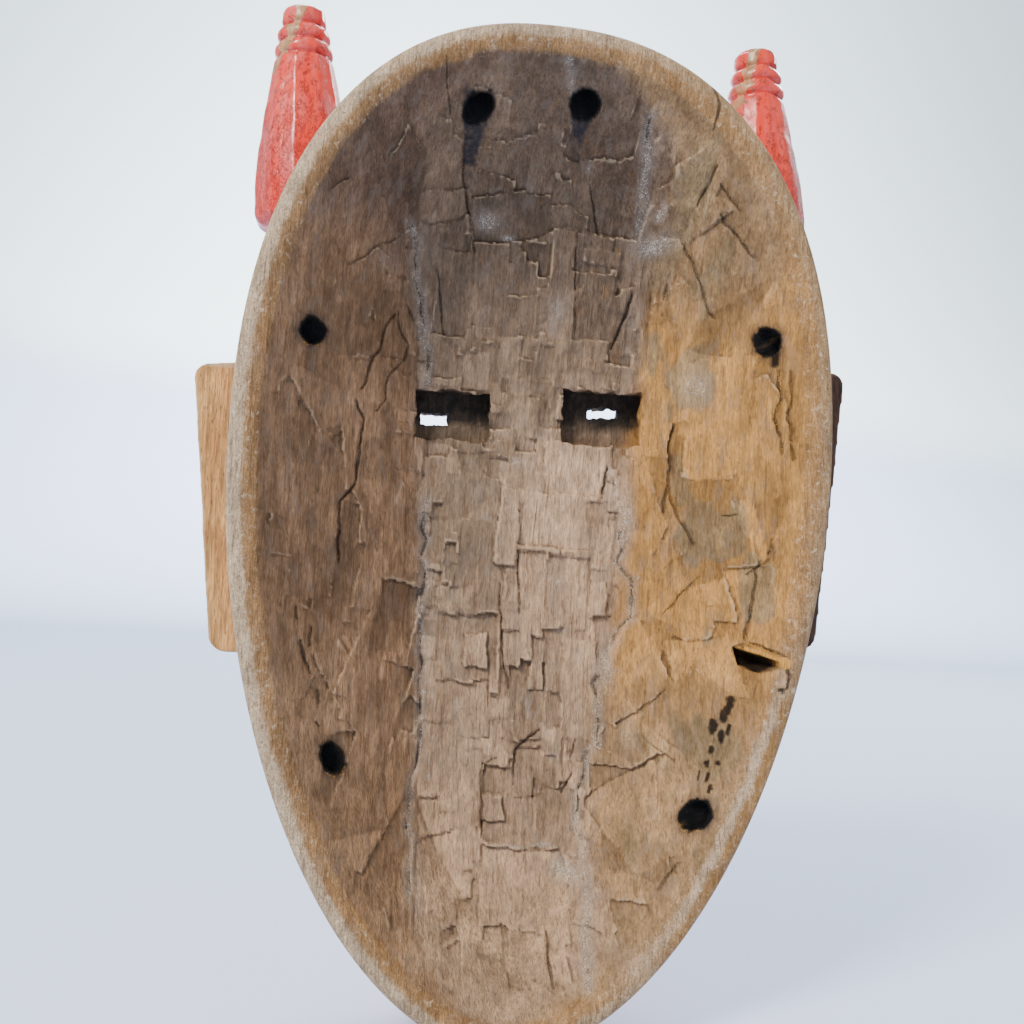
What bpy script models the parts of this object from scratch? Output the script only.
"""A carved wooden dance mask with two turned horns and two slab ears.

Frame: +Z is up, +X is the wearer's left, the carved face looks along -Y and the hollow opens
along +Y. The origin is the centre of the back rim, whose flat face lies in the plane y = 0.
Every length is in metres. A "depth" is a distance in front of the rim plane, so y = -depth.
"""

import math

import bmesh
import bpy
from mathutils import Matrix, Vector

# Rim outline: a superellipse on each side, fuller above its widest line than below it
RIM_HALF_HEIGHT = 0.1655
RIM_HALF_WIDTH = {1: 0.0974, -1: 0.0991}
RIM_WIDEST_Z = {1: 0.0203, -1: 0.0271}
CROWN_POWER = 2.32
CHIN_POWER = 1.89
LIP_WIDTH = 0.009  # outer edge of the rim to the start of the hollow

# Outer body and hollow
BODY_DEPTH = 0.076
BODY_PLAN_POWER = 2.5
FLANK_START = 0.002
HOLLOW_DEPTH = 0.056
HOLLOW_REACH_Z = 0.158
HOLLOW_START = 0.0022
LIP_SLOPE = 1.5
TROUGH_HALF = {1: 0.033, -1: 0.039}
TROUGH_FLARE = 0.009
TROUGH_FLARE_Z = 0.105
TROUGH_FLARE_SPREAD = 0.060
# How much narrower each side of the trough is below its middle, towards the chin
TROUGH_TAPER = {1: 0.002, -1: 0.008}
TROUGH_TAPER_FROM = -0.034
TROUGH_TAPER_TO = -0.062
WALL_POWER = 0.85

# Grid of the shell's mesh, and the rim's profile as (share of the lip width, depth)
GRID = (24, 34)
RIM_PROFILE = ((0.07, 0.0008), (0.22, 0.0), (0.76, 0.0), (0.91, 0.0007))

# Eye pockets and slits: centre x, centre z, width, height
EYE_POCKETS = {"left": (0.0248, 0.0420, 0.0280, 0.0185), "right": (-0.0313, 0.0445, 0.0300, 0.0205)}
EYE_SLITS = {"left": (0.0314, 0.0412, 0.0110, 0.0052), "right": (-0.0335, 0.0480, 0.0125, 0.0052)}
POCKET_FLOOR_DEPTH = 0.0640

# Tie holes. Side holes run along X and crown holes along Z: (position along the wall, depth)
TIE_HOLE_RADIUS = 0.0047
SIDE_TIE_HOLES = {
    "tie_left_upper": (1, 0.0614, 0.0172),
    "tie_left_lower": (1, -0.0780, 0.0190),
    "tie_right_upper": (-1, 0.0689, 0.0140),
    "tie_right_lower": (-1, -0.0922, 0.0112),
}
CROWN_TIE_HOLES = {"tie_crown_left": (0.0239, 0.0185), "tie_crown_right": (-0.0122, 0.0166)}
BROKEN_HOLE = (-0.0775, -0.0400, 0.0150, 0.0070)  # centre x, centre z, width, height
BROKEN_HOLE_FLOOR = 0.022

# Horns: x at the base and at the top, and the z of both ends
HORN_BASE_X = {"left": 0.0807, "right": -0.0818}
HORN_TOP_X = {"left": 0.0859, "right": -0.0790}
HORN_BASE_Z = {"left": 0.0999, "right": 0.1031}
HORN_LENGTH = 0.0775
HORN_DEPTH = 0.035
HORN_RADIUS = 0.0178
HORN_SHOULDER_RADIUS = 0.0102
HORN_SHOULDER = 0.0585
HORN_CAP_RADIUS = 0.0076
HORN_SIDES = 24

# Ears: slabs standing out of the flanks
EAR_DEPTH = (0.024, 0.040)
EAR_TOP = {"left": (0.1134, 0.0489), "right": (-0.1130, 0.0616)}
EAR_BOTTOM = {"left": (0.1023, -0.0456), "right": (-0.1052, -0.0369)}
EAR_INNER_X = 0.070
EAR_CORNER = 0.005

# Hidden pegs
HORN_PEG_RADIUS = 0.0035
HORN_PEG_SPAN = (0.0600, 0.0880)
HORN_PEG_RISE = 0.0085
EAR_PEG_RADIUS = 0.0027
EAR_PEG_SPAN = (0.0800, 0.0970)
EAR_PEG_Z = {"upper": 0.026, "lower": -0.020}
GAP = 0.0003
PEG_SIDES = 12
HOLE_SIDES = 16


def clear_scene():
    for obj in list(bpy.data.objects):
        bpy.data.objects.remove(obj)


def material(name, colour, roughness):
    made = bpy.data.materials.new(name)
    made.use_nodes = True
    shader = made.node_tree.nodes["Principled BSDF"]
    shader.inputs["Base Color"].default_value = (*colour, 1.0)
    shader.inputs["Roughness"].default_value = roughness
    shader.inputs["Metallic"].default_value = 0.0
    return made


def add_object(name, mesh, finish=None, smooth_angle=None):
    obj = bpy.data.objects.new(name, mesh)
    bpy.context.scene.collection.objects.link(obj)
    if finish:
        mesh.materials.append(finish)
    if smooth_angle:
        mesh.shade_smooth()
        mesh.set_sharp_from_angle(angle=smooth_angle)
    return obj


def finished_mesh(name, form):
    """A mesh from a bmesh, with its faces turned to point out."""
    bmesh.ops.recalc_face_normals(form, faces=form.faces)
    mesh = bpy.data.meshes.new(name)
    form.to_mesh(mesh)
    form.free()
    return mesh


def as_cutter(obj):
    obj.hide_render = True
    obj.display_type = "WIRE"
    return obj


def cut(obj, cutter):
    modifier = obj.modifiers.new("cut_" + cutter.name, "BOOLEAN")
    modifier.operation = "DIFFERENCE"
    modifier.object = cutter


def bell(value, spread):
    return math.exp(-((value / spread) ** 2))


# ---- The egg-shaped plan and the two depth rules -------------------------------------------


def half_width(z, side, inset=0.0):
    """Half width of the rim outline at height z, moved inwards by inset."""
    widest = RIM_WIDEST_Z[side]
    reach = (RIM_HALF_HEIGHT - inset - widest) if z > widest else (RIM_HALF_HEIGHT - inset + widest)
    power = CROWN_POWER if z > widest else CHIN_POWER
    share = min(abs(z - widest) / reach, 1.0)
    return (RIM_HALF_WIDTH[side] - inset) * (1.0 - share**power) ** (1.0 / power)


def plan_point(u, v, inset=0.0):
    """The point (x, z) of the plan for (u, v) in the unit disc. The circle maps to the outline."""
    z = v * (RIM_HALF_HEIGHT - inset)
    span = math.sqrt(max(1.0 - v * v, 1e-6))
    return min(max(u / span, -1.0), 1.0) * half_width(z, 1 if u > 0 else -1, inset), z


def carved_relief(x, z):
    """How far the carved face stands in front of the plain body at (x, z)."""
    aside = abs(x)
    down = min(max((0.052 - z) / 0.080, 0.0), 1.0)
    foot = min(max((z + 0.038) / 0.014, 0.0), 1.0)
    nose = 0.021 * down**1.1 * foot * bell(x, 0.0085 + 0.007 * down**2)
    tip = 0.005 * bell(x, 0.0095) * bell(z + 0.023, 0.009)
    wings = 0.008 * bell(aside - 0.013, 0.006) * bell(z + 0.027, 0.008)
    brow = 0.005 * bell(z - 0.064, 0.009) * bell(aside - 0.034, 0.022)
    cheek = 0.006 * bell(aside - 0.046, 0.022) * bell(z + 0.018, 0.026)
    lips = 0.0075 * bell(x, 0.024) * bell(z + 0.081, 0.014)
    chin = 0.0085 * bell(x, 0.025) * bell(z + 0.127, 0.016)
    forehead = 0.0025 * bell(x, 0.050) * bell(z - 0.105, 0.034)
    return nose + tip + wings + brow + cheek + lips + chin + forehead


def body_depth(share):
    """Depth of the plain outer body, from the flank (share 1) to the middle (share 0)."""
    return FLANK_START + (BODY_DEPTH - FLANK_START) * math.sqrt(1.0 - share**BODY_PLAN_POWER)


def lip_distance(x, z):
    """About how far (x, z) lies inside the start of the hollow."""
    side = 1 if x > 0 else -1
    widest = RIM_WIDEST_Z[side]
    above = z > widest
    power = CROWN_POWER if above else CHIN_POWER
    reach = RIM_HALF_HEIGHT - LIP_WIDTH + (-widest if above else widest)
    across = abs(x) / (RIM_HALF_WIDTH[side] - LIP_WIDTH)
    along = abs(z - widest) / reach
    total = max(across**power + along**power, 1e-9)
    share = total ** (1.0 / power)
    rate = total ** (1.0 / power - 1.0)
    slope = math.hypot(
        rate * across ** (power - 1.0) / (RIM_HALF_WIDTH[side] - LIP_WIDTH),
        rate * along ** (power - 1.0) / reach,
    )
    return max(1.0 - share, 0.0) / max(slope, 1e-6)


def trough_half(z, side):
    flare = TROUGH_FLARE * math.exp(-(((z - TROUGH_FLARE_Z) / TROUGH_FLARE_SPREAD) ** 2))
    share = (TROUGH_TAPER_FROM - z) / (TROUGH_TAPER_FROM - TROUGH_TAPER_TO)
    share = min(max(share, 0.0), 1.0)
    return TROUGH_HALF[side] + flare - TROUGH_TAPER[side] * share * share * (3.0 - 2.0 * share)


def hollow_depth(x, z):
    """A flat-bottomed trough between two sloping walls, closed by a steep lip all round."""
    side = 1 if x > 0 else -1
    share = min(abs(z) / HOLLOW_REACH_Z, 1.0)
    floor = HOLLOW_DEPTH * (1.0 - share**3.2) ** 0.5556
    edge = half_width(z, side, LIP_WIDTH)
    trough = min(trough_half(z, side), 0.75 * edge)
    climb = min(max((edge - abs(x)) / max(edge - trough, 1e-6), 0.0), 1.0)
    lip = HOLLOW_START + LIP_SLOPE * lip_distance(x, z)
    return max(min(HOLLOW_START + (floor - HOLLOW_START) * climb**WALL_POWER, lip), HOLLOW_START)


# ---- Shell ---------------------------------------------------------------------------------


def disc_grid():
    """Points of the unit disc for a square grid, row by row."""
    across, along = GRID
    rows = []
    for j in range(along + 1):
        b = 2.0 * j / along - 1.0
        row = []
        for i in range(across + 1):
            a = 2.0 * i / across - 1.0
            row.append((a * math.sqrt(1.0 - b * b / 2.0), b * math.sqrt(1.0 - a * a / 2.0)))
        rows.append(row)
    return rows


def front_point(u, v, grow=0.0):
    """A point of the carved outer surface. grow moves it outwards."""
    radius = math.hypot(u, v)
    share = math.sin(min(radius, 1.0) * math.pi / 2.0)
    factor = share / radius if radius > 1e-9 else math.pi / 2.0
    x, z = plan_point(u * factor, v * factor, -grow)
    return Vector((x, -(body_depth(share) + carved_relief(x, z) + grow), z))


def hollow_point(u, v):
    x, z = plan_point(u, v, LIP_WIDTH)
    return Vector((x, -hollow_depth(x, z), z))


def boundary_of(rows):
    """The outer ring of a grid, in order."""
    lowest, highest = rows[0], rows[-1]
    right = [row[-1] for row in rows[1:-1]]
    left = [row[0] for row in rows[1:-1]]
    return lowest + right + highest[::-1] + left[::-1]


def add_grid(form, points):
    rows = [[form.verts.new(point) for point in row] for row in points]
    for lower, upper in zip(rows, rows[1:]):
        for i in range(len(lower) - 1):
            form.faces.new((lower[i], lower[i + 1], upper[i + 1], upper[i]))
    return boundary_of(rows)


def join_rings(form, first, second):
    for i in range(len(first)):
        k = (i + 1) % len(first)
        form.faces.new((first[i], first[k], second[k], second[i]))


def shell_mesh():
    form = bmesh.new()
    disc = disc_grid()
    outer = add_grid(form, [[front_point(u, v) for u, v in row] for row in disc])
    inner = add_grid(form, [[hollow_point(u, v) for u, v in row] for row in disc])
    previous = outer
    for share, depth in RIM_PROFILE:
        ring = []
        for edge, start in zip(outer, inner):
            point = edge.co.lerp(start.co, share)
            ring.append(form.verts.new((point.x, -depth, point.z)))
        join_rings(form, previous, ring)
        previous = ring
    join_rings(form, previous, inner)
    return finished_mesh("mask_shell", form)


def scribe_body():
    """The shell's outer form as a plain solid, a gap larger, for scribing horns and ears."""
    form = bmesh.new()
    outer = add_grid(form, [[front_point(u, v, GAP) for u, v in row] for row in disc_grid()])
    back = [form.verts.new((vert.co.x, 0.010, vert.co.z)) for vert in outer]
    join_rings(form, outer, back)
    form.faces.new(back)
    bmesh.ops.triangulate(form, faces=form.faces)
    return as_cutter(add_object("scribe_body", finished_mesh("scribe_body", form)))


def box_mesh(name, low, high, bevel=0.0):
    form = bmesh.new()
    size = Vector(high) - Vector(low)
    centre = (Vector(high) + Vector(low)) / 2.0
    bmesh.ops.create_cube(form, size=1.0)
    bmesh.ops.scale(form, vec=size, verts=form.verts)
    bmesh.ops.translate(form, vec=centre, verts=form.verts)
    if bevel:
        upright = [edge for edge in form.edges if abs(edge.verts[0].co.y - edge.verts[1].co.y) > 1e-6]
        bmesh.ops.bevel(form, geom=upright, offset=bevel, segments=2, affect="EDGES")
    return finished_mesh(name, form)


def rod_mesh(name, start, end, radius, sides):
    form = bmesh.new()
    along = Vector(end) - Vector(start)
    turn = Vector((0.0, 0.0, 1.0)).rotation_difference(along).to_matrix().to_4x4()
    place = Matrix.Translation((Vector(start) + Vector(end)) / 2.0) @ turn
    bmesh.ops.create_cone(
        form, cap_ends=True, segments=sides, radius1=radius, radius2=radius, depth=along.length, matrix=place
    )
    return finished_mesh(name, form)


def cut_eyes(shell):
    for side, (x, z, width, height) in EYE_POCKETS.items():
        low = (x - width / 2.0, -POCKET_FLOOR_DEPTH, z - height / 2.0)
        high = (x + width / 2.0, -0.030, z + height / 2.0)
        cut(shell, as_cutter(add_object("eye_pocket_" + side, box_mesh("eye_pocket", low, high))))
    for side, (x, z, width, height) in EYE_SLITS.items():
        low = (x - width / 2.0, -0.100, z - height / 2.0)
        high = (x + width / 2.0, -0.060, z + height / 2.0)
        mesh = box_mesh("eye_slit", low, high, bevel=0.0015)
        cut(shell, as_cutter(add_object("eye_slit_" + side, mesh)))


def cut_tie_holes(shell):
    for name, (side, z, depth) in SIDE_TIE_HOLES.items():
        start, end = (side * 0.045, -depth, z), (side * 0.115, -depth, z)
        mesh = rod_mesh(name, start, end, TIE_HOLE_RADIUS, HOLE_SIDES)
        cut(shell, as_cutter(add_object(name, mesh)))
    for name, (x, depth) in CROWN_TIE_HOLES.items():
        start, end = (x, -depth, 0.125), (x, -depth, 0.180)
        mesh = rod_mesh(name, start, end, TIE_HOLE_RADIUS, HOLE_SIDES)
        cut(shell, as_cutter(add_object(name, mesh)))
    x, z, width, height = BROKEN_HOLE
    low = (x - width / 2.0, -BROKEN_HOLE_FLOOR, z - height / 2.0)
    high = (x + width / 2.0, 0.010, z + height / 2.0)
    mesh = box_mesh("broken_hole", low, high, bevel=0.0025)
    cut(shell, as_cutter(add_object("broken_hole", mesh)))


# ---- Horns, ears and pegs ------------------------------------------------------------------


def horn_profile():
    """(distance along the horn from its base, radius): rounded foot, swelling cone, beads, cap."""
    foot_top = 0.008
    profile = [(0.0, 0.0), (0.0, HORN_RADIUS - 0.0055), (0.0008, HORN_RADIUS - 0.0028)]
    profile += [(0.0030, HORN_RADIUS - 0.0004), (foot_top, HORN_RADIUS)]
    steps = 6
    for k in range(1, steps + 1):
        share = k / steps
        height = foot_top + (HORN_SHOULDER - foot_top) * share
        profile.append((height, HORN_RADIUS + (HORN_SHOULDER_RADIUS - HORN_RADIUS) * share**1.35))
    bead_rise = 0.0056
    for k in range(2):
        start = HORN_SHOULDER + bead_rise * k
        radius = HORN_SHOULDER_RADIUS - 0.0007 - 0.0009 * k
        profile += [(start + 0.0010, radius - 0.0006), (start + 0.0030, radius), (start + 0.0048, radius - 0.0001)]
    groove = HORN_SHOULDER + 2 * bead_rise + 0.0014
    profile += [(groove, HORN_CAP_RADIUS - 0.0006), (groove + 0.0015, HORN_CAP_RADIUS)]
    profile += [(HORN_LENGTH - 0.0012, HORN_CAP_RADIUS), (HORN_LENGTH, HORN_CAP_RADIUS - 0.0012)]
    return profile + [(HORN_LENGTH, 0.0)]


def turned_mesh(name, profile, sides):
    """A solid of revolution about Z, closed by a point at each end."""
    form = bmesh.new()
    foot = form.verts.new((0.0, 0.0, profile[0][0]))
    tip = form.verts.new((0.0, 0.0, profile[-1][0]))
    rings = []
    for height, radius in profile[1:-1]:
        ring = []
        for k in range(sides):
            angle = 2.0 * math.pi * k / sides
            ring.append(form.verts.new((radius * math.cos(angle), radius * math.sin(angle), height)))
        rings.append(ring)
    for lower, upper in zip(rings, rings[1:]):
        join_rings(form, lower, upper)
    for k in range(sides):
        following = (k + 1) % sides
        form.faces.new((foot, rings[0][following], rings[0][k]))
        form.faces.new((tip, rings[-1][k], rings[-1][following]))
    return finished_mesh(name, form)


def make_horn(side, finish, scribe):
    mesh = turned_mesh("horn_" + side, horn_profile(), HORN_SIDES)
    horn = add_object("horn_" + side, mesh, finish, math.radians(40))
    base = Vector((HORN_BASE_X[side], -HORN_DEPTH, HORN_BASE_Z[side]))
    lean = Vector((HORN_TOP_X[side] - HORN_BASE_X[side], 0.0, HORN_LENGTH))
    horn.location = base
    horn.rotation_mode = "QUATERNION"
    horn.rotation_quaternion = Vector((0.0, 0.0, 1.0)).rotation_difference(lean)
    cut(horn, scribe)
    return horn


def ear_mesh(side):
    """A slab with rounded outer corners. Its inner edge runs into the flank, to be scribed."""
    sign = 1 if side == "left" else -1
    top = Vector((EAR_TOP[side][0], 0.0, EAR_TOP[side][1]))
    bottom = Vector((EAR_BOTTOM[side][0], 0.0, EAR_BOTTOM[side][1]))
    inner_top = Vector((sign * EAR_INNER_X, 0.0, top.z + 0.005))
    inner_bottom = Vector((sign * EAR_INNER_X, 0.0, bottom.z))
    form = bmesh.new()
    near, far = EAR_DEPTH
    corners = [form.verts.new(point + Vector((0.0, -near, 0.0))) for point in (inner_top, top, bottom, inner_bottom)]
    face = form.faces.new(corners)
    grown = bmesh.ops.extrude_face_region(form, geom=[face])
    moved = [item for item in grown["geom"] if isinstance(item, bmesh.types.BMVert)]
    bmesh.ops.translate(form, vec=(0.0, near - far, 0.0), verts=moved)
    outer = [
        edge
        for edge in form.edges
        if abs(edge.verts[0].co.y - edge.verts[1].co.y) > 1e-6 and abs(edge.verts[0].co.x) > EAR_INNER_X + 0.01
    ]
    bmesh.ops.bevel(form, geom=outer, offset=EAR_CORNER, segments=4, profile=0.5, affect="EDGES")
    return finished_mesh("ear_" + side, form)


def make_ear(side, finish, scribe):
    ear = add_object("ear_" + side, ear_mesh(side), finish, math.radians(30))
    cut(ear, scribe)
    bevel = ear.modifiers.new("eased_edges", "BEVEL")
    bevel.width = 0.0008
    bevel.segments = 1
    bevel.limit_method = "ANGLE"
    bevel.angle_limit = math.radians(60)
    return ear


def make_peg(name, sign, span, depth, z, radius, finish, hosts):
    """A dowel along X, and its socket cut in both of the pieces that it joins."""
    start, end = (sign * span[0], -depth, z), (sign * span[1], -depth, z)
    peg = add_object(name, rod_mesh(name, start, end, radius, PEG_SIDES), finish, math.radians(40))
    wide_start = (sign * (span[0] - GAP), -depth, z)
    wide_end = (sign * (span[1] + GAP), -depth, z)
    wide = rod_mesh(name + "_socket", wide_start, wide_end, radius + GAP, PEG_SIDES)
    socket = as_cutter(add_object(name + "_socket", wide))
    for host in hosts:
        cut(host, socket)
    return peg


def main():
    clear_scene()
    carved_wood = material("carved_wood", (0.30, 0.19, 0.11), 0.72)
    ear_wood = material("ear_wood", (0.42, 0.27, 0.14), 0.7)
    horn_paint = material("horn_paint", (0.62, 0.16, 0.12), 0.5)
    peg_wood = material("peg_wood", (0.50, 0.36, 0.21), 0.75)

    shell = add_object("mask_shell", shell_mesh(), carved_wood, math.radians(45))
    scribe = scribe_body()
    cut_eyes(shell)
    cut_tie_holes(shell)
    for side, sign in (("left", 1), ("right", -1)):
        horn = make_horn(side, horn_paint, scribe)
        rise = HORN_BASE_Z[side] + HORN_PEG_RISE
        make_peg(
            "horn_peg_" + side, sign, HORN_PEG_SPAN, HORN_DEPTH, rise, HORN_PEG_RADIUS, peg_wood, (horn, shell)
        )
        ear = make_ear(side, ear_wood, scribe)
        middle = sum(EAR_DEPTH) / 2.0
        for place, z in EAR_PEG_Z.items():
            name = f"ear_peg_{side}_{place}"
            make_peg(name, sign, EAR_PEG_SPAN, middle, z, EAR_PEG_RADIUS, peg_wood, (ear, shell))


main()
